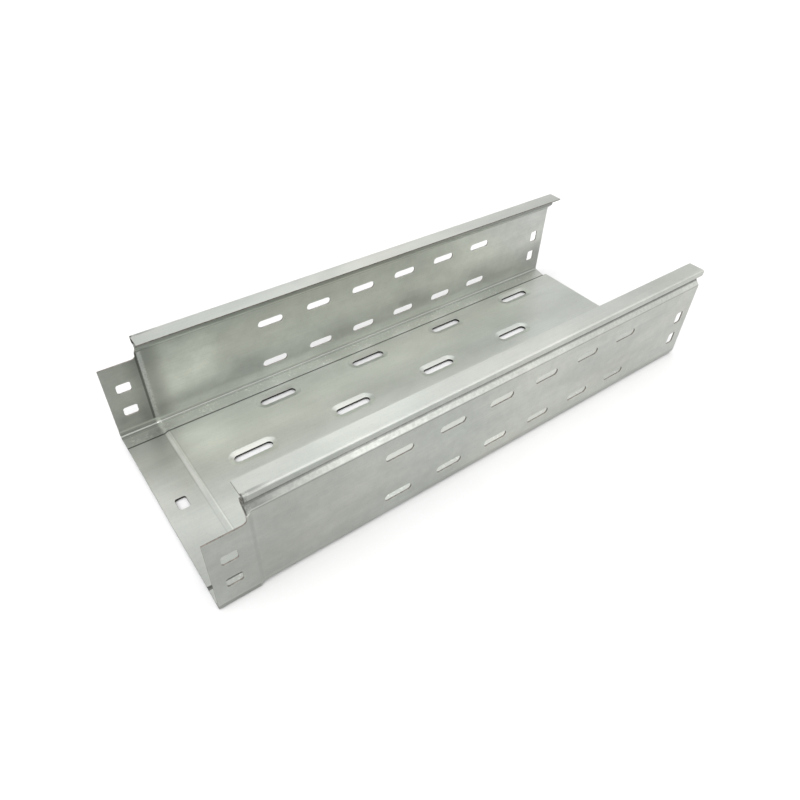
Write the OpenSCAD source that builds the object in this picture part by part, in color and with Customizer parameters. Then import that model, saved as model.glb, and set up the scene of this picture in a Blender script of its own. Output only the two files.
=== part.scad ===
// Perforated cable tray: one length of roll-formed galvanised sheet with a pressed socket end.
// X runs along the tray, from the socket end (-X) to the plain end (+X), and Y runs across it.
// The origin is on the floor under the middle of the tray, and Z points up.

/* [Tray] */
// Overall length
tray_length = 500; // [420:1:3000]
// Outer width across the side walls of the body
body_w = 196; // [180:1:600]
// Thickness of the sheet
sheet_t = 1.2; // [0.8:0.1:2]
// Height from the underside of the body to the top of its flanges
body_h = 95; // [85:1:150]

/* [Side walls] */
// Distance from the top of the flange down to where the straight wall turns in to the shoulder
shoulder_drop = 18.5; // [17:0.5:22]
// Rise of the slanted shoulder
shoulder_rise = 7; // [4:0.5:8]
// Distance that the shoulder sets the neck in from the wall
neck_inset = 5.4; // [4:0.1:8]
// Width of the top flange, from the wall's outer plane to its inner edge
flange_w = 16; // [12:0.1:24]
// Height of the rolled outer edge of the flange
hem_h = 5.8; // [4.4:0.1:7]
// Bend radius at the middle of the sheet, at the foot of the wall
foot_r = 2; // [1.5:0.1:4]
// Bend radius at the middle of the sheet, at the shoulder and neck
neck_r = 1.4; // [1.1:0.1:2]

/* [Base] */
// Width of the low strip along each wall
strip_w = 16; // [12:0.5:20]
// Height by which the middle of the base is raised above the strips
base_raise = 1.2; // [0.8:0.1:2]
// Width of the slope between strip and raised base
step_run = 1.6; // [1.4:0.1:3]
// Depth of the small relief at the strips' plain ends
strip_relief = 3.3; // [1:0.1:6]

/* [Socket end] */
// Length of the widened socket
socket_len = 31.5; // [26:0.5:60]
// Length of the joggle between socket and body
joggle_len = 4; // [3:0.5:8]
// Clearance between the socket and the plain end that slides into it
socket_clearance = 0.3; // [0.1:0.1:0.6]
// Distance from the shoulder down to the top of the socket's walls
socket_drop = 5; // [4:0.5:16]
// Distance from the flange's cut end to the joggle
notch_land = 0.5; // [0.4:0.1:2]
// Radius of the corner between the socket's wall and the flange's cut end
notch_r = 4; // [2:0.5:4]

/* [Wall slots] */
// Length of a wall slot
wall_slot_len = 25; // [20:0.5:35]
// Width of a wall slot
wall_slot_w = 7; // [5:0.5:10]
// Distance between the slots of a row
wall_slot_pitch = 50; // [40:1:60]
// Distance from the socket end to the first slot's centre
wall_slot_start = 150; // [100:1:160]
// Number of slots in a row
wall_slot_count = 6; // [1:1:6]
// Height of the lower row
lower_row_z = 18; // [12:0.5:22]
// Distance from the shoulder down to the upper row
upper_row_drop = 14.5; // [10:0.5:20]

/* [Base slots] */
// Length of a base slot's opening
base_slot_len = 35; // [25:0.5:40]
// Width of a base slot's opening
base_slot_w = 7.5; // [5:0.5:10]
// Width of the pressed slope around the opening
dish_slope = 5; // [3:0.5:5.5]
// Depth to which the opening is pressed down
dish_depth = 1.2; // [0.6:0.1:1.4]
// Distance between the slots of a row
base_slot_pitch = 100; // [80:1:110]
// Number of slots in a row
base_slot_count = 4; // [1:1:4]
// Distance from the centre line to the inner rows
inner_row_y = 17.5; // [15:0.5:25]
// Distance from the centre line to the outer rows
outer_row_y = 67; // [60:0.5:68]
// Distance from the socket end to the first slot of the inner rows
inner_row_start = 85; // [75:1:95]
// Distance from the socket end to the first slot of the outer rows
outer_row_start = 135; // [120:1:140]

/* [Connection slots] */
// Length of a connection slot
joint_slot_len = 12; // [9:0.5:14]
// Width of a connection slot
joint_slot_w = 9; // [6:0.5:10]
// Corner radius of a connection slot
joint_slot_r = 2; // [0.5:0.5:2.5]
// Distance from either end of the tray to a connection slot's centre
joint_slot_inset = 15; // [12:0.5:16]
// Height of the lower connection slots
joint_low_z = 23.5; // [20:0.5:30]
// Distance from the lower connection slots up to the upper ones
joint_spacing = 24.5; // [20:0.5:32]

/* [Hidden] */
$fn = 48;
steel_grey = [0.72, 0.74, 0.71];
chord_angle = 18;
cut_margin = 1;
joggle = sheet_t + socket_clearance;
socket_end_x = -tray_length / 2;
socket_back_x = socket_end_x + socket_len;
body_start_x = socket_back_x + joggle_len;
flange_end_x = socket_back_x - notch_land;
plain_end_x = tray_length / 2;
body_z = joggle;
far_off = tray_length + body_w + body_h;
wall_mid_y = body_w / 2 - sheet_t / 2;
neck_mid_y = wall_mid_y - neck_inset;
flange_mid_z = body_h - sheet_t / 2;
hem_mid_z = body_h - hem_h + sheet_t / 2;
hem_r = (flange_mid_z - hem_mid_z) / 2;
shoulder_z = body_h - shoulder_drop;
socket_h = shoulder_z - socket_drop;
upper_row_z = shoulder_z - upper_row_drop;
shoulder_mid_z = shoulder_z + shoulder_rise / 2;
shoulder_lean = atan2(neck_inset, shoulder_rise);
strip_edge_y = body_w / 2 - sheet_t - strip_w;
strip_mid_z = sheet_t / 2;
base_mid_z = strip_mid_z + base_raise;
base_top_z = base_raise + sheet_t;
step_lean = atan2(step_run, base_raise);

// Number of flat chords that make a bend of an angle
function chords(angle) = max(1, round(abs(angle) / chord_angle));

// How far a point lies along a direction that leans down from +Y by an angle
function along_lean(lean, y, z) = y * cos(lean) - z * sin(lean);

// A face that runs along the tray is a list: the lean of its normal below +Y, the distance of its plane
// from the tray's axis, and how far it moves out at the socket.
// The faces of a bend, as chords of its arc
function bend_faces(centre, radius, from_lean, to_lean, socket_move) =
    let (
        count = chords(to_lean - from_lean),
        step = (to_lean - from_lean) / count
    )
    [
        for (i = [0 : count - 1])
        let (lean = from_lean + step * (i + 0.5))
        [
            lean,
            along_lean(lean, centre[0], centre[1]) + radius * cos(step / 2),
            along_lean(lean, socket_move[0], socket_move[1])
        ]
    ];

// The faces of one wall from shoulder to foot, at a distance outside the middle of the sheet
// At the socket they move out, and the shoulder slides along its own slope as they do.
function wall_faces(aside) =
    let (
        shoulder_move = [joggle, -joggle * shoulder_rise / neck_inset],
        foot_move = [joggle, -joggle],
        shoulder_centre = [wall_mid_y - neck_r, shoulder_z - neck_r * tan(shoulder_lean / 2)],
        foot_centre = [wall_mid_y - foot_r, strip_mid_z + foot_r]
    )
    concat(
        [[-shoulder_lean, along_lean(-shoulder_lean, wall_mid_y, shoulder_z) + aside, 0]],
        bend_faces(shoulder_centre, neck_r + aside, -shoulder_lean, 0, shoulder_move),
        [[0, wall_mid_y + aside, joggle]],
        bend_faces(foot_centre, foot_r + aside, 0, 90, foot_move)
    );

// The underside or top of the strips, and of the raised base with its slopes
function strip_face(aside) = [90, aside - strip_mid_z, joggle];
function base_face(aside) = [-90, base_mid_z + aside, -joggle];
function slope_face(aside) = [
    -step_lean,
    along_lean(-step_lean, strip_edge_y, strip_mid_z) + aside,
    along_lean(-step_lean, 0, -joggle)
];

// Everything inside a face that runs along the tray and follows the joggle, up to a margin past both ends
module inside_face(face, margin) {
    start = socket_end_x - margin;
    end = plain_end_x + margin;
    body_reach = face[1];
    socket_reach = face[1] + face[2];
    translate([0, 0, body_z]) rotate([-face[0], 0, 0]) linear_extrude(far_off, center = true)
        polygon([
            [start, -far_off],
            [start, socket_reach],
            [socket_back_x, socket_reach],
            [body_start_x, body_reach],
            [end, body_reach],
            [end, -far_off]
        ]);
}

// Everything inside a list of faces of the +Y side, their mirror images and one face in the middle
module inside_faces(side_faces, middle_face, margin) {
    intersection() {
        intersection_for (face = side_faces) inside_face(face, margin);
        mirror([0, 1, 0]) intersection_for (face = side_faces) inside_face(face, margin);
        inside_face(middle_face, margin);
    }
}

// The sheet from shoulder to shoulder, with the socket's joggle in its walls and base
module channel() {
    outer = sheet_t / 2;
    inner = -sheet_t / 2;
    difference() {
        inside_faces(wall_faces(outer), strip_face(outer), 0);
        inside_faces([slope_face(inner)], base_face(inner), cut_margin);
        difference() {
            inside_faces(wall_faces(inner), strip_face(inner), cut_margin);
            inside_faces([slope_face(outer)], base_face(outer), 2 * cut_margin);
        }
        translate([-far_off / 2, -far_off / 2, body_z + shoulder_mid_z]) cube(far_off);
    }
}

// Direction of the line from one point to the next
function heading(from, to) = (to - from) / norm(to - from);

// A direction turned by an angle
function turned(v, angle) = [
    v[0] * cos(angle) - v[1] * sin(angle),
    v[0] * sin(angle) + v[1] * cos(angle)
];

// Signed angle from one direction to the next
function turn_angle(v, w) = atan2(v[0] * w[1] - v[1] * w[0], v[0] * w[0] + v[1] * w[1]);

// One face of a bend: a corner of the sheet's middle line rounded by a radius, moved aside by a distance
function bend(before, corner, after, radius, aside) =
    let (
        v = heading(before, corner),
        angle = turn_angle(v, heading(corner, after)),
        side = sign(angle),
        to_centre = turned(v, 90 * side),
        centre = corner - v * radius * tan(abs(angle) / 2) + to_centre * radius,
        count = chords(angle)
    )
    [for (i = [0 : count]) centre - turned(to_centre, angle * i / count) * (radius - side * aside)];

// One face of a bent sheet, from its middle line's corners, each with a bend radius as a third value
function sheet_face(line, aside) =
    let (
        points = [for (c = line) [c[0], c[1]]],
        last = len(line) - 1,
        first_side = turned(heading(points[0], points[1]), 90),
        last_side = turned(heading(points[last - 1], points[last]), 90)
    )
    concat(
        [points[0] + first_side * aside],
        [for (i = [1 : last - 1]) each bend(points[i - 1], points[i], points[i + 1], line[i][2], aside)],
        [points[last] + last_side * aside]
    );

// The section of the flange with its hem, the neck and the upper half of the shoulder
module flange_section() {
    line = [
        [body_w / 2 - flange_w, flange_mid_z, 0],
        [wall_mid_y, flange_mid_z, hem_r],
        [wall_mid_y, hem_mid_z, hem_r],
        [neck_mid_y, hem_mid_z, neck_r],
        [neck_mid_y, shoulder_z + shoulder_rise, neck_r],
        [wall_mid_y, shoulder_z, 0]
    ];
    left = sheet_face(line, sheet_t / 2);
    right = sheet_face(line, -sheet_t / 2);
    difference() {
        polygon(concat(left, [for (i = [len(right) - 1 : -1 : 0]) right[i]]));
        translate([0, shoulder_mid_z - far_off]) square(far_off);
    }
}

// Both flanges, from the socket's notch to the plain end
module flanges() {
    for (side = [0, 1])
        mirror([0, side, 0]) translate([flange_end_x, 0, body_z]) rotate([90, 0, 90])
            linear_extrude(plain_end_x - flange_end_x) flange_section();
}

// A slot with round ends, along the first axis
module round_slot(length, width) {
    straight = length - width;
    square([straight, width], center = true);
    for (side = [-1, 1]) translate([side * straight / 2, 0]) circle(d = width);
}

// A slot with square ends and rounded corners, along the first axis
module square_slot(length, width, corner_r) {
    square([length - 2 * corner_r, width], center = true);
    square([length, width - 2 * corner_r], center = true);
    for (x = [-1, 1], y = [-1, 1])
        translate([x * (length / 2 - corner_r), y * (width / 2 - corner_r)]) circle(corner_r);
}

// A punch through both walls at a distance along the tray and a height on the body
module through_walls(x, z) {
    translate([x, 0, body_z + z]) rotate([90, 0, 0])
        linear_extrude(body_w + 2 * joggle + 2 * cut_margin, center = true) children();
}

// A punch down through the base
module through_base(x, y) {
    translate([x, y, -cut_margin]) linear_extrude(body_z + base_top_z + 2 * cut_margin) children();
}

// A dish with round ends whose side slopes from one width to another over its height
module dish(length, low_w, high_w, height) {
    straight = length - low_w;
    for (side = [-1, 1])
        translate([side * straight / 2, 0, 0]) cylinder(h = height, d1 = low_w, d2 = high_w);
    translate([-straight / 2, 0, 0]) rotate([90, 0, 90]) linear_extrude(straight)
        polygon([[-low_w / 2, 0], [low_w / 2, 0], [high_w / 2, height], [-high_w / 2, height]]);
}

// The pressed slope around a base slot, carried up by a margin along the same slope
module slot_dish(margin) {
    reach = dish_depth + margin;
    wide = base_slot_w + 2 * dish_slope * reach / dish_depth;
    dish(base_slot_len, base_slot_w, wide, reach);
}

// Children at every base slot, on the underside of the raised base
module at_base_slots() {
    rows = [[inner_row_y, inner_row_start], [outer_row_y, outer_row_start]];
    for (row = rows, side = [-1, 1], i = [0 : base_slot_count - 1])
        translate([socket_end_x + row[1] + i * base_slot_pitch, side * row[0], body_z + base_raise])
            children();
}

// The notch that ends the flanges at the socket, with its rounded corner
module flange_notch() {
    corner_x = flange_end_x - notch_r;
    length = flange_end_x - socket_end_x + cut_margin;
    height = body_h + cut_margin;
    module outline() {
        difference() {
            translate([socket_end_x - cut_margin, socket_h]) square([length, height]);
            difference() {
                translate([corner_x, socket_h]) square(notch_r);
                translate([corner_x, socket_h + notch_r]) circle(notch_r);
            }
        }
    }
    through_walls(0, 0) outline();
}

// The slots in both walls
module wall_slots() {
    for (z = [lower_row_z, upper_row_z], i = [0 : wall_slot_count - 1])
        through_walls(socket_end_x + wall_slot_start + i * wall_slot_pitch, z)
            round_slot(wall_slot_len, wall_slot_w);
}

// The slots that bolt one tray to the next: those in the walls lie across each other in the two ends,
// and the socket has one more in its base.
module connection_slots() {
    socket_x = socket_end_x + joint_slot_inset;
    plain_x = plain_end_x - joint_slot_inset;
    for (z = [joint_low_z, joint_low_z + joint_spacing]) {
        through_walls(socket_x, z) square_slot(joint_slot_len, joint_slot_w, joint_slot_r);
        through_walls(plain_x, z) square_slot(joint_slot_w, joint_slot_len, joint_slot_r);
    }
    through_base(socket_x, 0) square_slot(joint_slot_w, joint_slot_len, joint_slot_r);
}

// The slanted reliefs that set the strips' plain ends back from the base
module strip_reliefs() {
    foot_y = body_w / 2 - sheet_t - foot_r;
    for (side = [-1, 1])
        translate([0, 0, body_z - cut_margin]) linear_extrude(sheet_t + 2 * cut_margin)
            polygon([
                [plain_end_x, side * foot_y],
                [plain_end_x - strip_relief, side * strip_edge_y],
                [plain_end_x + cut_margin, side * strip_edge_y],
                [plain_end_x + cut_margin, side * foot_y]
            ]);
}

module cable_tray() {
    overlap = sheet_t / 3;
    color(steel_grey) difference() {
        union() {
            channel();
            flanges();
            at_base_slots() translate([0, 0, -dish_depth]) slot_dish(overlap);
        }
        at_base_slots() translate([0, 0, sheet_t - dish_depth]) slot_dish(overlap);
        at_base_slots() translate([0, 0, -dish_depth - cut_margin])
            linear_extrude(dish_depth + sheet_t + cut_margin) round_slot(base_slot_len, base_slot_w);
        wall_slots();
        connection_slots();
        flange_notch();
        strip_reliefs();
    }
}

cable_tray();
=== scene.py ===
"""Perforated cable tray: eases the pressed bends, rounds the sheared edges, gives the sheet its
galvanised finish with painted shade and highlights in its colour, and sets it on a pale studio floor."""

import math

import bmesh
import bpy
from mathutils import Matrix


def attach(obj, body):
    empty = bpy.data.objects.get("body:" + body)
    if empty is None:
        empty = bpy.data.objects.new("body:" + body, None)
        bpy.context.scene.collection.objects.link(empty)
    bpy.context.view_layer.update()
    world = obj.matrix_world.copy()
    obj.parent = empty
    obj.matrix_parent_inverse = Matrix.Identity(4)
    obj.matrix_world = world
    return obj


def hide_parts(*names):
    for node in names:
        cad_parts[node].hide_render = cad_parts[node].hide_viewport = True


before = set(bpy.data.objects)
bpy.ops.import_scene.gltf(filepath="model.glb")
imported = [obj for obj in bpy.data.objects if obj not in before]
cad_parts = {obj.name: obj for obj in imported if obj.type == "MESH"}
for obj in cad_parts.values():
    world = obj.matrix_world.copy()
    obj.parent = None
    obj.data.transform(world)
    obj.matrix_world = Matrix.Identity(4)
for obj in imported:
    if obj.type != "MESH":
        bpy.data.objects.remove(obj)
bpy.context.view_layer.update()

bl_info = {
    "name": "Perforated cable tray",
    "version": (1, 0, 0),
    "blender": (4, 5, 0),
    "location": "View3D > Sidebar > Cable tray",
    "description": "Galvanised finish, eased bends and a studio for a perforated cable tray",
    "category": "Object",
}

TRAY_NODE = "cable_tray"
MM = 0.001

# Soft boxes far round the tray, with their angles in degrees:
# azimuth and elevation of the middle, inner and outer radius, strength
SOFT_BOXES = (
    (180, 58, 0, 32, 1.66),
    (180, 32, 0, 30, 0.91),
    (180, 8, 0, 30, 0.30),
    (225, 32, 0, 30, 0.66),
    (225, 8, 0, 30, 0.49),
    (240, 58, 0, 32, 0.45),
    (270, 32, 0, 30, 0.23),
    (270, 8, 0, 30, 0.19),
    (300, 58, 0, 32, 0.22),
    (315, 32, 0, 30, 0.34),
    (0, 88, 0, 35, 0.50),
    (0, 58, 0, 32, 0.52),
    (0, 8, 0, 30, 0.17),
    (60, 58, 0, 32, 0.19),
    (55, 42, 0, 18, 0.48),
    (-72, 36, 0, 14, 0.50),
    (-72, 20, 0, 14, 0.29),
    (-58, 27, 1, 8, 2.50),
)

# Places on the sheet, as distance out from the tray's middle and height, are in mm.
# The solid's half-round hem: its centre, a radius past its outer face, one between its two faces
# and a slack for points on its middle lines
HEM_CENTRE = (95.1, 93.6)
HEM_RADIUS = 3.0
HEM_BETWEEN = 2.3
HEM_SLACK = 0.1
# The squarer hem that it is settled to: its middle, the radii of its two bends and its flat side
HEM_MIDDLE = (96.2, 93.2)
HEM_INNER = 0.6
HEM_OUTER = 1.8
HEM_FLAT = 3.0
# Lowest and highest point of the walls' other bends, and the lift of each
BEND_LIFTS = ((77.4, 79.1, 2.5), (84.1, 85.6, 1.5), (89.8, 92.0, -0.8))
# The walls' bends lie further out than the first of these, and the lowest of them than the second
BENDS_FROM = 90.0
LOWEST_BEND_FROM = 96.0
# How far the joggle brings that lowest bend down
JOGGLE_DROP = 1.94
# Where the flange's cut end, the body and the joggle lie along the tray
NOTCH_X = -219.3 * MM
BODY_X = -214.5 * MM
JOGGLE_RUN = 4.0 * MM
# The base slots' rims lie nearer to the middle than this, and their undersides lower than this
LIP_REACH = 76.0 * MM
LIP_HEIGHT = 1.6 * MM
# Place along the tray of the connection slot in the socket's base, and the reach of its rim
JOINT_SLOT_X = -235.0 * MM
JOINT_SLOT_REACH = 7.0 * MM
# The raised base and its dishes lie within this, and their edges turn by these angles in degrees
PRESSED_REACH = 83.0 * MM
DISH_TURNS = (12.0, 17.5)
RAISED_TURNS = (30.0, 45.0)
# Edges that turn by more than this are sheared, not bent
CUT_TURN = 60.0
# Cut faces, in mm: how far out and how high the wall slots, base slots and flange edges lie
WALL_FROM = 95.5
WALL_HEIGHTS = (7.0, 76.0)
BASE_REACH = 95.0
FLANGE_FROM = 90.0
FLANGE_EDGE = 82.5
# A face looks along an axis where its normal has more than this of it
FACING = 0.5
# Further than the tray reaches in any direction, in mm
BEYOND = 300.0


class TraySettings(bpy.types.PropertyGroup):
    """Sizes of the tray's pressed and sheared edges"""

    press_rounding: bpy.props.FloatProperty(
        name="Press rounding",
        description="Width of the rounding along the edges of the pressed base and its dishes",
        default=0.5 * MM,
        min=0.0,
        unit="LENGTH",
    )
    shear_rounding: bpy.props.FloatProperty(
        name="Shear rounding",
        description="Width of the rounding along cut edges",
        default=0.1 * MM,
        min=0.0,
        unit="LENGTH",
    )
    lip_depth: bpy.props.FloatProperty(
        name="Lip depth",
        description="How far the rims of the base slots are turned down below the sheet",
        default=0.55 * MM,
        min=0.0,
        unit="LENGTH",
    )
    joggle_steps: bpy.props.IntProperty(
        name="Joggle steps",
        description="Number of flats that make the S bend between socket and body",
        default=8,
        min=2,
    )


class ZincSettings(bpy.types.PropertyGroup):
    """Colours of the galvanised sheet"""

    cool_grey: bpy.props.FloatVectorProperty(
        name="Cool grey",
        description="Colour of the zinc where it is cooler",
        default=(0.594, 0.625, 0.590),
        subtype="COLOR",
        min=0.0,
        max=1.0,
    )
    warm_grey: bpy.props.FloatVectorProperty(
        name="Warm grey",
        description="Colour of the zinc where it is warmer",
        default=(0.622, 0.632, 0.580),
        subtype="COLOR",
        min=0.0,
        max=1.0,
    )
    # Near black for the base's punched edges: partly dark bare steel, partly painted shade down in the
    # slots
    punched_grey_and_shade: bpy.props.FloatVectorProperty(
        name="Punched grey and shade",
        description="Colour of the bare steel where the base is punched",
        default=(0.035, 0.033, 0.033),
        subtype="COLOR",
        min=0.0,
        max=1.0,
    )
    rust_grey: bpy.props.FloatVectorProperty(
        name="Rust grey",
        description="Colour of the bare steel of the walls' and flanges' cut edges",
        default=(0.25, 0.225, 0.20),
        subtype="COLOR",
        min=0.0,
        max=1.0,
    )


class StageSettings(bpy.types.PropertyGroup):
    """Floor, lights and camera"""

    floor_colour: bpy.props.FloatVectorProperty(
        name="Floor colour",
        description="Colour of the studio floor as the camera sees it",
        default=(0.82, 0.82, 0.82),
        subtype="COLOR",
        min=0.0,
        max=1.0,
    )
    floor_bounce: bpy.props.FloatVectorProperty(
        name="Floor bounce",
        description="Colour of the studio floor as the sheet mirrors it",
        default=(0.5, 0.5, 0.5),
        subtype="COLOR",
        min=0.0,
        max=1.0,
    )
    sky_level: bpy.props.FloatProperty(
        name="Sky level",
        description="Brightness of the studio between its soft boxes",
        default=0.735,
        min=0.0,
    )
    floor_side: bpy.props.FloatProperty(
        name="Floor side",
        description="Length of the floor's sides",
        default=12.0,
        unit="LENGTH",
    )
    camera_place: bpy.props.FloatVectorProperty(
        name="Camera place",
        description="Where the camera stands",
        default=(-0.2935, -0.3410, 0.3956),
        subtype="TRANSLATION",
    )
    camera_turn: bpy.props.FloatVectorProperty(
        name="Camera turn",
        description="How the camera is turned",
        default=[math.radians(a) for a in (47.470, -1.430, -36.042)],
        subtype="EULER",
    )
    camera_lens: bpy.props.FloatProperty(
        name="Camera lens",
        description="Focal length in millimetres on a 36 mm sensor",
        default=28.53,
    )
    camera_shift: bpy.props.FloatVectorProperty(
        name="Camera shift",
        description="Shift of the picture's middle, as a share of its width",
        default=(0.0088, 0.0041),
        size=2,
    )


class CableTraySettings(bpy.types.PropertyGroup):
    """All the settings of the cable tray"""

    tray: bpy.props.PointerProperty(type=TraySettings)
    zinc: bpy.props.PointerProperty(type=ZincSettings)
    stage: bpy.props.PointerProperty(type=StageSettings)


# Node helpers
def add_node(tree, kind, place, **values):
    """A node of a kind with its values set, inputs by their names and the rest as attributes"""
    node = tree.nodes.new(kind)
    node.location = place
    for key, value in values.items():
        if key in node.inputs:
            node.inputs[key].default_value = value
        else:
            setattr(node, key, value)
    return node


def new_material(name):
    """A material with its tree and its Principled BSDF"""
    material = bpy.data.materials.new(name)
    material.use_nodes = True
    tree = material.node_tree
    return material, tree, tree.nodes["Principled BSDF"]


def object_coords(tree):
    """The object coordinates in a material"""
    return add_node(tree, "ShaderNodeTexCoord", (-1400, 0)).outputs["Object"]


def new_group(name, inputs, outputs):
    """A shader node group with float or vector inputs and float outputs"""
    tree = bpy.data.node_groups.new(name, "ShaderNodeTree")
    for label, kind in inputs:
        tree.interface.new_socket(label, in_out="INPUT", socket_type=kind)
    for label in outputs:
        tree.interface.new_socket(label, in_out="OUTPUT", socket_type="NodeSocketFloat")
    ends = tree.nodes.new("NodeGroupInput"), tree.nodes.new("NodeGroupOutput")
    ends[0].location = (-800, 0)
    ends[1].location = (600, 0)
    return tree, ends[0], ends[1]


def place_group(tree, group, vector, place, **values):
    """The value of a group that is placed in a material on coordinates, with its own inputs"""
    node = tree.nodes.new("ShaderNodeGroup")
    node.node_tree = group
    node.location = place
    tree.links.new(vector, node.inputs["Vector"])
    for key, value in values.items():
        node.inputs[key].default_value = value
    return node.outputs[0]


def calc(tree, operation, *values):
    """A math node fed with sockets or numbers"""
    node = tree.nodes.new("ShaderNodeMath")
    node.operation = operation
    for socket, value in zip(node.inputs, values):
        if isinstance(value, bpy.types.NodeSocket):
            tree.links.new(value, socket)
        else:
            socket.default_value = value
    return node.outputs["Value"]


def ramp(tree, value, low, high, start=0.0, end=1.0):
    """A value carried from one range to another, eased at both ends"""
    node = tree.nodes.new("ShaderNodeMapRange")
    node.interpolation_type = "SMOOTHSTEP"
    tree.links.new(value, node.inputs["Value"])
    limits = {"From Min": low, "From Max": high, "To Min": start, "To Max": end}
    for name, limit in limits.items():
        node.inputs[name].default_value = limit
    return node.outputs["Result"]


def between(tree, value, low, high, soft):
    """1 where a value lies between two limits, easing to 0 outside them"""
    begun = ramp(tree, value, low - soft, low)
    ended = ramp(tree, value, high, high + soft)
    return calc(tree, "SUBTRACT", begun, ended)


def rolling_streaks_group():
    """Fine streaks along the tray, as the rolls leave them"""
    tree, start, end = new_group(
        "rolling_streaks",
        [
            ("Vector", "NodeSocketVector"),
            ("Across", "NodeSocketFloat"),
            ("Along", "NodeSocketFloat"),
        ],
        ["Streaks"],
    )
    scale = add_node(tree, "ShaderNodeCombineXYZ", (-560, -120))
    tree.links.new(start.outputs["Along"], scale.inputs["X"])
    tree.links.new(start.outputs["Across"], scale.inputs["Y"])
    tree.links.new(start.outputs["Across"], scale.inputs["Z"])
    stretch = add_node(tree, "ShaderNodeVectorMath", (-360, 0), operation="MULTIPLY")
    tree.links.new(start.outputs["Vector"], stretch.inputs[0])
    tree.links.new(scale.outputs["Vector"], stretch.inputs[1])
    noise = add_node(tree, "ShaderNodeTexNoise", (-120, 0), Scale=1.0, Detail=3.0, Roughness=0.6)
    tree.links.new(stretch.outputs["Vector"], noise.inputs["Vector"])
    spread = add_node(tree, "ShaderNodeMapRange", (160, 0), **{"From Min": 0.3, "From Max": 0.7})
    tree.links.new(noise.outputs["Fac"], spread.inputs["Value"])
    tree.links.new(spread.outputs["Result"], end.inputs["Streaks"])
    return tree


def zinc_clouds_group():
    """Soft cloudy patches in the zinc"""
    tree, start, end = new_group(
        "zinc_clouds",
        [("Vector", "NodeSocketVector"), ("Scale", "NodeSocketFloat")],
        ["Clouds"],
    )
    noise = add_node(
        tree, "ShaderNodeTexNoise", (-360, 0), Detail=4.0, Roughness=0.55, Distortion=0.4
    )
    tree.links.new(start.outputs["Vector"], noise.inputs["Vector"])
    tree.links.new(start.outputs["Scale"], noise.inputs["Scale"])
    spread = add_node(tree, "ShaderNodeMapRange", (0, 0), **{"From Min": 0.3, "From Max": 0.7})
    tree.links.new(noise.outputs["Fac"], spread.inputs["Value"])
    tree.links.new(spread.outputs["Result"], end.inputs["Clouds"])
    return tree


# Materials
class SheetMasks:
    """Masks over the tray's sheet, from places on it in mm"""

    def __init__(self, tree, coords):
        self.tree = tree
        parts = add_node(tree, "ShaderNodeSeparateXYZ", (-1250, 0))
        tree.links.new(coords, parts.inputs["Vector"])
        self.x, self.z = parts.outputs["X"], parts.outputs["Z"]
        self.y = calc(tree, "ABSOLUTE", parts.outputs["Y"])
        self.low = self.height(-BEYOND, 4.5, 1.5)
        wall_middle = ramp(tree, self.x, -218.5 * MM, BODY_X, 98.9 * MM, 97.4 * MM)
        past_middle = calc(tree, "SUBTRACT", self.y, wall_middle)
        self.inside = ramp(tree, past_middle, -0.2 * MM, 0.2 * MM, 1.0, 0.0)
        self.outside = calc(tree, "SUBTRACT", 1.0, self.inside)
        self.wall = self.overlap(self.across(95.0, BEYOND, 1.0), self.height(8.0, BEYOND, 2.0))
        self.inner_wall = self.overlap(self.wall, self.inside)
        self.outer_wall = self.overlap(self.wall, self.outside)
        self.strip = self.overlap(self.across(82.0, 95.0, 1.0), self.low)
        self.base = self.overlap(self.across(-BEYOND, 79.0, 0.5), self.low)
        lean = calc(tree, "MULTIPLY_ADD", self.z, 0.9, self.y)
        leaning = self.rise(lean, 169.6, 170.1)
        shoulder_place = self.across(92.0, 97.2, 0.5), self.height(80.8, 87.0, 0.6)
        self.shoulder = self.overlap(leaning, *shoulder_place)
        self.socket = self.along(-BEYOND, -219.5, 2.0)

    def rise(self, value, low, high):
        """0 below one place and 1 above another"""
        return ramp(self.tree, value, low * MM, high * MM)

    def across(self, low, high, soft):
        """1 between two distances from the middle of the tray"""
        return between(self.tree, self.y, low * MM, high * MM, soft * MM)

    def along(self, low, high, soft):
        """1 between two places along the tray"""
        return between(self.tree, self.x, low * MM, high * MM, soft * MM)

    def height(self, low, high, soft):
        """1 between two heights"""
        return between(self.tree, self.z, low * MM, high * MM, soft * MM)

    def overlap(self, *masks):
        """The product of masks"""
        product = masks[0]
        for mask in masks[1:]:
            product = calc(self.tree, "MULTIPLY", product, mask)
        return product


def zinc_textures(tree, coords, streaks, clouds):
    """The zinc's patterns, from patches as wide as a hand down to single grains"""
    drawn = add_node(tree, "ShaderNodeVectorMath", (-1250, 450), operation="MULTIPLY")
    drawn.inputs[1].default_value = (0.4, 1.0, 1.0)
    tree.links.new(coords, drawn.inputs[0])
    along_roll = drawn.outputs["Vector"]
    return {
        "patches": place_group(tree, clouds, along_roll, (-1100, 650), Scale=9.0),
        "blotches": place_group(tree, clouds, along_roll, (-1100, 450), Scale=26.0),
        "spangle": place_group(tree, clouds, coords, (-1100, 250), Scale=110.0),
        "mottle": place_group(tree, clouds, coords, (-1100, 50), Scale=420.0),
        "grains": place_group(tree, clouds, coords, (-1100, -150), Scale=900.0),
        "lines": place_group(tree, streaks, coords, (-1100, -350), Across=700.0, Along=7.0),
        "scores": place_group(tree, streaks, coords, (-1100, -550), Across=2600.0, Along=25.0),
    }


def joggle_flakes(on, zinc):
    """Where the zinc has flaked off the joggle's inner bend"""
    flaked = ramp(on.tree, zinc["grains"], 0.35, 0.6)
    return on.overlap(on.along(-217.6, -214.6, 0.8), on.inner_wall, flaked)


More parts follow.
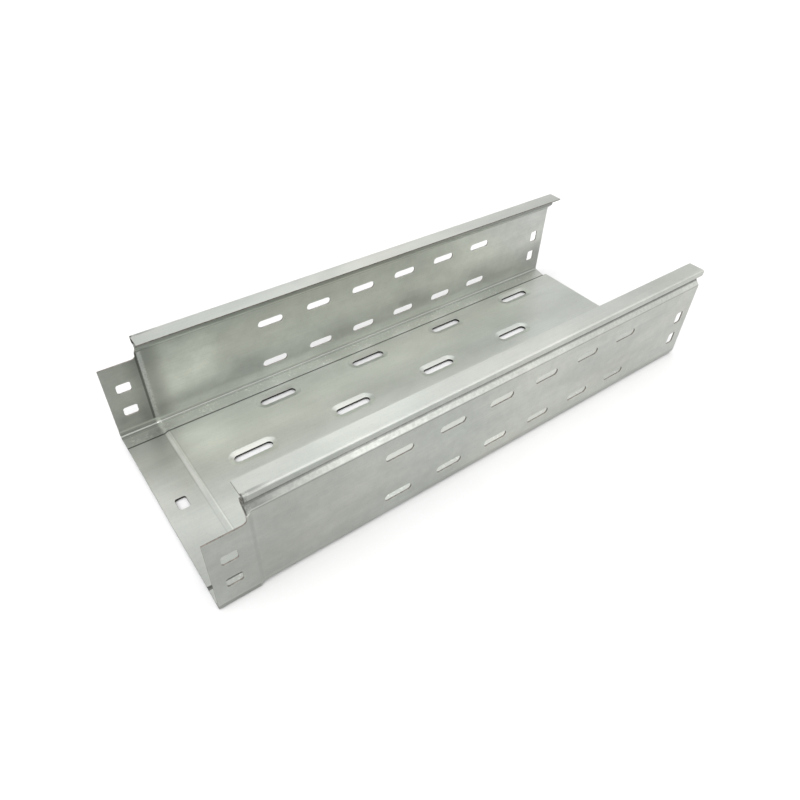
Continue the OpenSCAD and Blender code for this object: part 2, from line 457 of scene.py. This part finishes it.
def base_tones_and_painted_light(on, zinc):
    """Flecks, painted shade and a painted highlight on the base, its strips and the foot bends, with
    places made darker or lighter: where each lies, and how much it lightens
    """
    plain_end = on.rise(on.x, 60.0, 220.0)
    flecked = ramp(on.tree, zinc["mottle"], 0.6, 0.85), ramp(on.tree, zinc["spangle"], 0.2, 0.8)
    return {
        "bright flecks on the strips": (on.overlap(on.strip, *flecked), 0.30),
        # Painted shade: a dark band along the step of the raised base
        "painted shade along the raised base": (on.overlap(on.across(79.5, 81.7, 0.5), on.low), -0.68),
        # Painted shade in the foot bend's creases, which also dims the bend's highlight
        "painted shade in the foot bend's inner crease": (on.overlap(on.across(93.8, 94.2, 0.4), on.low), -0.25),
        "painted shade on the foot bend's outer crease": (
            on.overlap(on.across(95.2, 96.6, 0.5), on.height(-BEYOND, 5.5, 1.0), on.inside),
            -0.22,
        ),
        "socket's corners": (on.overlap(on.socket, on.low, on.rise(on.y, 25.0, 80.0)), -0.28),
        # Painted highlight along the joggle's ridge on the base
        "painted highlight on the joggle's ridge": (on.overlap(on.base, on.along(-214.7, -214.2, 0.4)), 0.22),
        "shade behind the ridge": (on.overlap(on.base, on.along(-213.5, -213.1, 0.4)), -0.09),
        # Painted shade in the crease at the joggle's foot
        "painted shade at the joggle's foot": (on.overlap(on.base, on.along(-219.0, -218.5, 0.4)), -0.12),
        "foot of the plain end": (
            on.overlap(plain_end, on.height(-BEYOND, 30.0, 20.0), on.inside),
            -0.12,
        ),
        "raised base of the plain end": (on.overlap(plain_end, on.base), 0.08),
    }


def inner_wall_tones_and_painted_light(on):
    """Painted shade, a painted reflection and places made darker or lighter on the walls' inner faces:
    where each lies, and how much it lightens
    """
    places = {
        # Painted shade in the joggle's crease on the inner walls
        "painted shade in the joggle's crease": (on.along(-219.6, -218.4, 0.8), -0.55),
        # Darker round the joggle, fading over a long reach
        "darker round the joggle": (on.along(-219.0, -212.0, 16.0), -0.34),
        "socket": (on.socket, -0.22),
        "foot of the wall": (on.height(0.0, 22.0, 24.0), -0.10),
        # Painted reflection: a lighter patch on the inner wall behind the joggle
        "painted reflection behind the joggle": (
            on.overlap(on.along(-190.0, -165.0, 18.0), on.height(35.0, 70.0, 14.0)),
            0.22,
        ),
        "upper half": (
            on.overlap(on.height(52.0, 80.0, 20.0), on.along(-165.0, BEYOND, 30.0)),
            0.09,
        ),
        "top of the plain end": (
            on.overlap(on.height(40.0, 80.0, 20.0), on.rise(on.x, 170.0, 250.0)),
            0.12,
        ),
    }
    return {spot: (on.overlap(place, on.inner_wall), share) for spot, (place, share) in places.items()}


def outer_wall_tones_and_painted_shade(on, zinc):
    """Painted shade and places made darker or lighter on the walls' outer faces and the flanges: where
    each lies, and how much it lightens
    """
    mottled = ramp(on.tree, zinc["mottle"], 0.2, 0.8, 0.7, 1.3)
    return {
        # The socket's outer faces are darker
        "darker socket": (on.overlap(on.along(-BEYOND, -200.0, 35.0), on.outer_wall), -0.08),
        "bright body": (on.overlap(on.outer_wall, on.rise(on.x, -170.0, 0.0)), 0.15),
        "flange's plain end": (
            on.overlap(on.rise(on.x, 40.0, 200.0), on.height(95.0, BEYOND, 0.3)),
            -0.07,
        ),
        # Painted shade on the shoulder, mottled, which dims its highlight, with more of it by the
        # socket
        "mottled painted shade on the shoulder": (on.overlap(on.shoulder, mottled), -0.18),
        "painted shade on the shoulder's socket end": (on.overlap(on.shoulder, on.along(-BEYOND, -205.0, 60.0)), -0.30),
        # Painted shade on the top of the shoulder, under the hem
        "painted shade atop the shoulder": (on.overlap(on.shoulder, on.height(84.6, 87.0, 0.6)), -0.40),
        # Painted shade in the crease at the shoulder's foot
        "painted shade at the shoulder's foot": (
            on.overlap(on.across(95.8, BEYOND, 0.4), on.height(80.3, 81.1, 0.5)),
            -0.28,
        ),
        # Painted shade on the neck under the flange
        "painted shade on the neck": (
            on.overlap(on.across(90.0, 94.2, 0.8), on.height(85.5, 91.5, 1.0)),
            -0.35,
        ),
        # Painted shade under the hem
        "painted shade under the hem": (
            on.overlap(on.across(94.2, BEYOND, 0.8), on.height(89.4, 91.0, 0.6)),
            -0.36,
        ),
    }


def zinc_shares(on, zinc, flakes):
    """How light or dark the zinc is, painted shade and highlights included, as shares of its colour
    that are multiplied together
    """
    spangled = ramp(on.tree, zinc["spangle"], 0.0, 1.0, -0.035, 0.035)
    shares = [
        ramp(on.tree, zinc["patches"], 0.0, 1.0, 0.96, 1.04),
        ramp(on.tree, zinc["blotches"], 0.0, 1.0, 0.93, 1.07),
        calc(on.tree, "MULTIPLY_ADD", on.wall, spangled, 1.0),
        ramp(on.tree, zinc["mottle"], 0.0, 1.0, 0.985, 1.015),
        ramp(on.tree, zinc["lines"], 0.0, 1.0, 0.982, 1.018),
        ramp(on.tree, zinc["scores"], 0.0, 1.0, 0.985, 1.012),
        ramp(on.tree, zinc["grains"], 0.0, 0.22, 0.88, 1.0),
        calc(on.tree, "MULTIPLY_ADD", flakes, 0.30, 1.0),
    ]
    # Tables of places made lighter or darker, many of them painted shade and highlights
    for tone_tables in (base_tones_and_painted_light(on, zinc), inner_wall_tones_and_painted_light(on), outer_wall_tones_and_painted_shade(on, zinc)):
        for mask, share in tone_tables.values():
            shares.append(calc(on.tree, "MULTIPLY_ADD", mask, share, 1.0))
    return shares


def two_tone(tree, first, second, factor, scale):
    """A colour between two, scaled to be lighter or darker"""
    tint = add_node(tree, "ShaderNodeMix", (-700, 300), data_type="RGBA")
    tint.inputs["A"].default_value = (*first, 1.0)
    tint.inputs["B"].default_value = (*second, 1.0)
    tree.links.new(factor, tint.inputs["Factor"])
    colour = add_node(tree, "ShaderNodeVectorMath", (-400, 300), operation="SCALE")
    tree.links.new(tint.outputs["Result"], colour.inputs["Vector"])
    tree.links.new(scale, colour.inputs["Scale"])
    return colour.outputs["Vector"]


def galvanised_material(colours, streaks, clouds):
    """Rolled sheet with a dull zinc coat, darker round the joggle, flaked where it was pressed, and
    with painted shade and highlights in its colour
    """
    material, tree, shader = new_material("galvanised_sheet")
    coords = object_coords(tree)
    on = SheetMasks(tree, coords)
    zinc = zinc_textures(tree, coords, streaks, clouds)
    flakes = joggle_flakes(on, zinc)
    lightness = on.overlap(*zinc_shares(on, zinc, flakes))
    colour = two_tone(tree, colours.cool_grey, colours.warm_grey, zinc["patches"], lightness)
    tree.links.new(colour, shader.inputs["Base Color"])
    shader.inputs["Metallic"].default_value = 0.92
    gloss = ramp(tree, zinc["mottle"], 0.0, 1.0, 0.31, 0.37)
    tree.links.new(calc(tree, "MULTIPLY_ADD", flakes, 0.2, gloss), shader.inputs["Roughness"])
    bump = add_node(tree, "ShaderNodeBump", (-300, -300), Strength=0.045, Distance=0.2 * MM)
    relief = calc(tree, "MULTIPLY_ADD", flakes, 2.0, zinc["lines"])
    tree.links.new(relief, bump.inputs["Height"])
    tree.links.new(bump.outputs["Normal"], shader.inputs["Normal"])
    return material


def cut_edge_material(colours, clouds):
    """Bare steel where the sheet was sheared and punched, darkest down in the base, where the near
    black is partly painted shade
    """
    material, tree, shader = new_material("cut_edge")
    coords = object_coords(tree)
    parts = add_node(tree, "ShaderNodeSeparateXYZ", (-1250, 0))
    tree.links.new(coords, parts.inputs["Vector"])
    # Low cut edges take the near-black colour, partly painted shade; higher ones take the rust grey
    above_base = ramp(tree, parts.outputs["Z"], 4.0 * MM, 8.0 * MM)
    mottle = place_group(tree, clouds, coords, (-1100, 100), Scale=420.0)
    lightness = ramp(tree, mottle, 0.0, 1.0, 0.7, 1.3)
    colour = two_tone(tree, colours.punched_grey_and_shade, colours.rust_grey, above_base, lightness)
    tree.links.new(colour, shader.inputs["Base Color"])
    shader.inputs["Metallic"].default_value = 0.6
    shader.inputs["Roughness"].default_value = 0.5
    return material


# The sheet's shape
def turn(edge):
    """Angle between an edge's two faces, in degrees"""
    return math.degrees(edge.calc_face_angle(0.0))


def runs_along(edge):
    """Whether an edge runs along the tray"""
    span = edge.verts[1].co - edge.verts[0].co
    return abs(span.x) > 0.9 * span.length


def merged_copy(node):
    """The tray's solid as a closed mesh without the lines across its flat faces"""
    bm = bmesh.new()
    bm.from_mesh(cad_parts[node].data)
    bmesh.ops.remove_doubles(bm, verts=bm.verts, dist=0.01 * MM)
    bmesh.ops.dissolve_limit(bm, angle_limit=math.radians(1.0), verts=bm.verts, edges=bm.edges)
    return bm


def settled_hem(y, z):
    """A point of the half-round hem on the squarer one, which has two tight bends and a flat side"""
    across, up = y - HEM_CENTRE[0], z - HEM_CENTRE[1]
    angle = math.atan2(up, across)
    reach = HEM_OUTER if math.hypot(across, up) > HEM_BETWEEN else HEM_INNER
    half = math.copysign(HEM_FLAT / 2, up) if abs(up) > HEM_SLACK else 0.0
    return HEM_MIDDLE[0] + reach * math.cos(angle), HEM_MIDDLE[1] + half + reach * math.sin(angle)


def bend_lift(x, y, z):
    """How far a point of the walls' other bends is lifted"""
    joggled = min(max((BODY_X - x) / JOGGLE_RUN, 0.0), 1.0) if y > LOWEST_BEND_FROM else 0.0
    level = z + JOGGLE_DROP * joggled
    return sum(lift for lowest, highest, lift in BEND_LIFTS if lowest < level < highest)


def settle_bends(bm):
    """Squares the hem off, and lifts the shoulder to its height"""
    for vert in bm.verts:
        y, z = abs(vert.co.y) / MM, vert.co.z / MM
        if y > HEM_CENTRE[0] - HEM_SLACK and z > HEM_CENTRE[1] - HEM_RADIUS:
            y, z = settled_hem(y, z)
        elif y > BENDS_FROM and vert.co.x > NOTCH_X:
            z += bend_lift(vert.co.x, y, z)
        vert.co.y = math.copysign(y * MM, vert.co.y)
        vert.co.z = z * MM


def turn_down_lips(bm, depth):
    """Draws the undersides of the base slots' rims down, as the punch leaves them"""
    for vert in bm.verts:
        x, y, z = vert.co
        at_joint = max(abs(y), abs(x - JOINT_SLOT_X)) < JOINT_SLOT_REACH
        in_body = x > BODY_X and abs(y) < LIP_REACH
        if (at_joint or in_body) and z < LIP_HEIGHT:
            vert.co.z -= depth


def joggle_span(bm, tolerance=0.01 * MM):
    """Where the ramp between socket and body starts and ends along the tray"""
    socket_y = max(v.co.y for v in bm.verts)
    plain_x = max(v.co.x for v in bm.verts)
    body_y = max(v.co.y for v in bm.verts if v.co.x > plain_x - tolerance)
    start = max(v.co.x for v in bm.verts if v.co.y > socket_y - tolerance)
    end = min(v.co.x for v in bm.verts if abs(v.co.y - body_y) < tolerance and v.co.x > start)
    return start, end


def ease_joggle(bm, steps):
    """Turns the ramp between socket and body into an S bend, by sliding cuts of it along the tray"""
    start, end = joggle_span(bm)
    length = end - start
    cuts = []
    for i in range(1, steps):
        share = i / steps
        eased = share * share * (3.0 - 2.0 * share)
        cut = bmesh.ops.bisect_plane(
            bm,
            geom=bm.verts[:] + bm.edges[:] + bm.faces[:],
            dist=0.001 * MM,
            plane_co=(end - eased * length, 0, 0),
            plane_no=(1, 0, 0),
        )
        verts = [v for v in cut["geom_cut"] if isinstance(v, bmesh.types.BMVert)]
        cuts.append((verts, end - share * length))
    for verts, x in cuts:
        for vert in verts:
            vert.co.x = x


def round_edges(bm, edges, width, segments):
    """Rounds edges by a width"""
    bmesh.ops.bevel(
        bm,
        geom=edges,
        offset=width,
        offset_type="OFFSET",
        affect="EDGES",
        segments=segments,
        profile=0.5,
        material=-1,
        clamp_overlap=False,
    )


def pressed_edges(bm):
    """The edges of the base's raised middle and of its dishes"""
    edges = []
    for edge in bm.edges:
        if max(abs(v.co.y) for v in edge.verts) < PRESSED_REACH:
            of_dish = DISH_TURNS[0] < turn(edge) < DISH_TURNS[1]
            of_middle = runs_along(edge) and RAISED_TURNS[0] < turn(edge) < RAISED_TURNS[1]
            if of_dish or of_middle:
                edges.append(edge)
    return edges


def sheared(face):
    """Whether a face is a cut edge of the sheet, by where it lies and which way it looks"""
    middle = face.calc_center_median() / MM
    out, up = abs(middle.y), middle.z
    along, across, upward = (abs(part) > FACING for part in face.normal)
    if along:
        return True
    if out > WALL_FROM and WALL_HEIGHTS[0] < up < WALL_HEIGHTS[1]:
        return not across
    if out < BASE_REACH and up < WALL_HEIGHTS[0]:
        return not upward
    return up > FLANGE_FROM and out < FLANGE_EDGE and across


class CABLETRAY_OT_sheet(bpy.types.Operator):
    """Dress the tray's sheet: ease its bends, round its edges and give it its finish"""

    bl_idname = "cable_tray.sheet"
    bl_label = "Galvanised sheet"

    def execute(self, context):
        settings = context.scene.cable_tray
        bm = merged_copy(TRAY_NODE)
        for face in bm.faces:
            face.material_index = 1 if sheared(face) else 0
            face.smooth = True
        round_edges(bm, pressed_edges(bm), settings.tray.press_rounding, segments=2)
        settle_bends(bm)
        turn_down_lips(bm, settings.tray.lip_depth)
        ease_joggle(bm, settings.tray.joggle_steps)
        cut_edges = [e for e in bm.edges if turn(e) > CUT_TURN]
        round_edges(bm, cut_edges, settings.tray.shear_rounding, segments=1)
        mesh = bpy.data.meshes.new("tray_sheet")
        bm.to_mesh(mesh)
        bm.free()
        sheet = bpy.data.objects.new("tray_sheet", mesh)
        context.scene.collection.objects.link(sheet)
        streaks = rolling_streaks_group()
        clouds = zinc_clouds_group()
        mesh.materials.append(galvanised_material(settings.zinc, streaks, clouds))
        mesh.materials.append(cut_edge_material(settings.zinc, clouds))
        weighting = sheet.modifiers.new("face_weighting", "WEIGHTED_NORMAL")
        weighting.mode = "FACE_AREA"
        weighting.weight = 50
        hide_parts(TRAY_NODE)
        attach(sheet, "root")
        return {"FINISHED"}


# The stage
def floor_material(colour, bounce):
    """Plain pale floor, darker as the sheet mirrors it than as the camera sees it"""
    material, tree, shader = new_material("studio_floor")
    path = add_node(tree, "ShaderNodeLightPath", (-700, 300))
    seen = add_node(tree, "ShaderNodeMix", (-400, 200), data_type="RGBA")
    seen.inputs["A"].default_value = (*bounce, 1.0)
    seen.inputs["B"].default_value = (*colour, 1.0)
    tree.links.new(path.outputs["Is Camera Ray"], seen.inputs["Factor"])
    tree.links.new(seen.outputs["Result"], shader.inputs["Base Color"])
    shader.inputs["Roughness"].default_value = 0.9
    shader.inputs["Specular IOR Level"].default_value = 0.1
    return material


def add_floor(context, stage):
    """A level floor under the tray"""
    bm = bmesh.new()
    bmesh.ops.create_grid(bm, x_segments=1, y_segments=1, size=stage.floor_side / 2)
    mesh = bpy.data.meshes.new("studio_floor")
    bm.to_mesh(mesh)
    bm.free()
    mesh.materials.append(floor_material(stage.floor_colour, stage.floor_bounce))
    floor = bpy.data.objects.new("studio_floor", mesh)
    context.scene.collection.objects.link(floor)


def towards(azimuth, elevation):
    """Unit vector for an azimuth and an elevation in degrees"""
    heading, lift = math.radians(azimuth), math.radians(elevation)
    level = math.cos(lift)
    return level * math.cos(heading), level * math.sin(heading), math.sin(lift)


def add_world(context, stage):
    """A dim studio with soft boxes all round"""
    world = bpy.data.worlds.new("studio_light")
    world.use_nodes = True
    tree = world.node_tree
    background = tree.nodes["Background"]
    background.inputs["Color"].default_value = (1.0, 1.0, 1.0, 1.0)
    coords = add_node(tree, "ShaderNodeTexCoord", (-1000, 0))
    total = None
    for row, (azimuth, elevation, inner, outer, strength) in enumerate(SOFT_BOXES):
        down = -250 * row
        near = add_node(tree, "ShaderNodeVectorMath", (-800, down), operation="DOT_PRODUCT")
        near.inputs[1].default_value = towards(azimuth, elevation)
        tree.links.new(coords.outputs["Generated"], near.inputs[0])
        box = add_node(tree, "ShaderNodeMapRange", (-600, down), interpolation_type="SMOOTHSTEP")
        box.inputs["From Min"].default_value = math.cos(math.radians(outer))
        box.inputs["From Max"].default_value = math.cos(math.radians(inner))
        tree.links.new(near.outputs["Value"], box.inputs["Value"])
        scaled = add_node(tree, "ShaderNodeMath", (-400, down), operation="MULTIPLY_ADD")
        scaled.inputs[1].default_value = strength
        scaled.inputs[2].default_value = stage.sky_level
        tree.links.new(box.outputs["Result"], scaled.inputs[0])
        if total:
            tree.links.new(total, scaled.inputs[2])
        total = scaled.outputs["Value"]
    tree.links.new(total, background.inputs["Strength"])
    context.scene.world = world


def add_camera(context, stage):
    """The camera at the photograph's place"""
    data = bpy.data.cameras.new("camera")
    data.lens = stage.camera_lens
    data.sensor_width = 36.0
    data.shift_x, data.shift_y = stage.camera_shift
    data.clip_start = 0.01
    camera = bpy.data.objects.new("camera", data)
    camera.location = stage.camera_place
    camera.rotation_euler = stage.camera_turn
    context.scene.collection.objects.link(camera)
    context.scene.camera = camera


class CABLETRAY_OT_stage(bpy.types.Operator):
    """Set up the floor, the soft lights and the camera"""

    bl_idname = "cable_tray.stage"
    bl_label = "Studio"

    def execute(self, context):
        stage = context.scene.cable_tray.stage
        add_floor(context, stage)
        add_world(context, stage)
        add_camera(context, stage)
        context.scene.view_settings.view_transform = "Standard"
        return {"FINISHED"}


class CABLETRAY_PT_panel(bpy.types.Panel):
    """Lists the tray's operators and settings"""

    bl_idname = "CABLETRAY_PT_panel"
    bl_label = "Cable tray"
    bl_space_type = "VIEW_3D"
    bl_region_type = "UI"
    bl_category = "Cable tray"

    def draw(self, context):
        settings = context.scene.cable_tray
        for group in (settings.tray, settings.zinc, settings.stage):
            box = self.layout.box()
            for name in group.bl_rna.properties.keys():
                if name not in ("rna_type", "name"):
                    box.prop(group, name)
        self.layout.operator(CABLETRAY_OT_sheet.bl_idname)
        self.layout.operator(CABLETRAY_OT_stage.bl_idname)


CLASSES = (
    TraySettings,
    ZincSettings,
    StageSettings,
    CableTraySettings,
    CABLETRAY_OT_sheet,
    CABLETRAY_OT_stage,
    CABLETRAY_PT_panel,
)


def register():
    for cls in CLASSES:
        bpy.utils.register_class(cls)
    bpy.types.Scene.cable_tray = bpy.props.PointerProperty(type=CableTraySettings)


def unregister():
    del bpy.types.Scene.cable_tray
    for cls in reversed(CLASSES):
        bpy.utils.unregister_class(cls)


def main():
    register()
    bpy.ops.cable_tray.sheet()
    bpy.ops.cable_tray.stage()


if __name__ == "__main__":
    main()
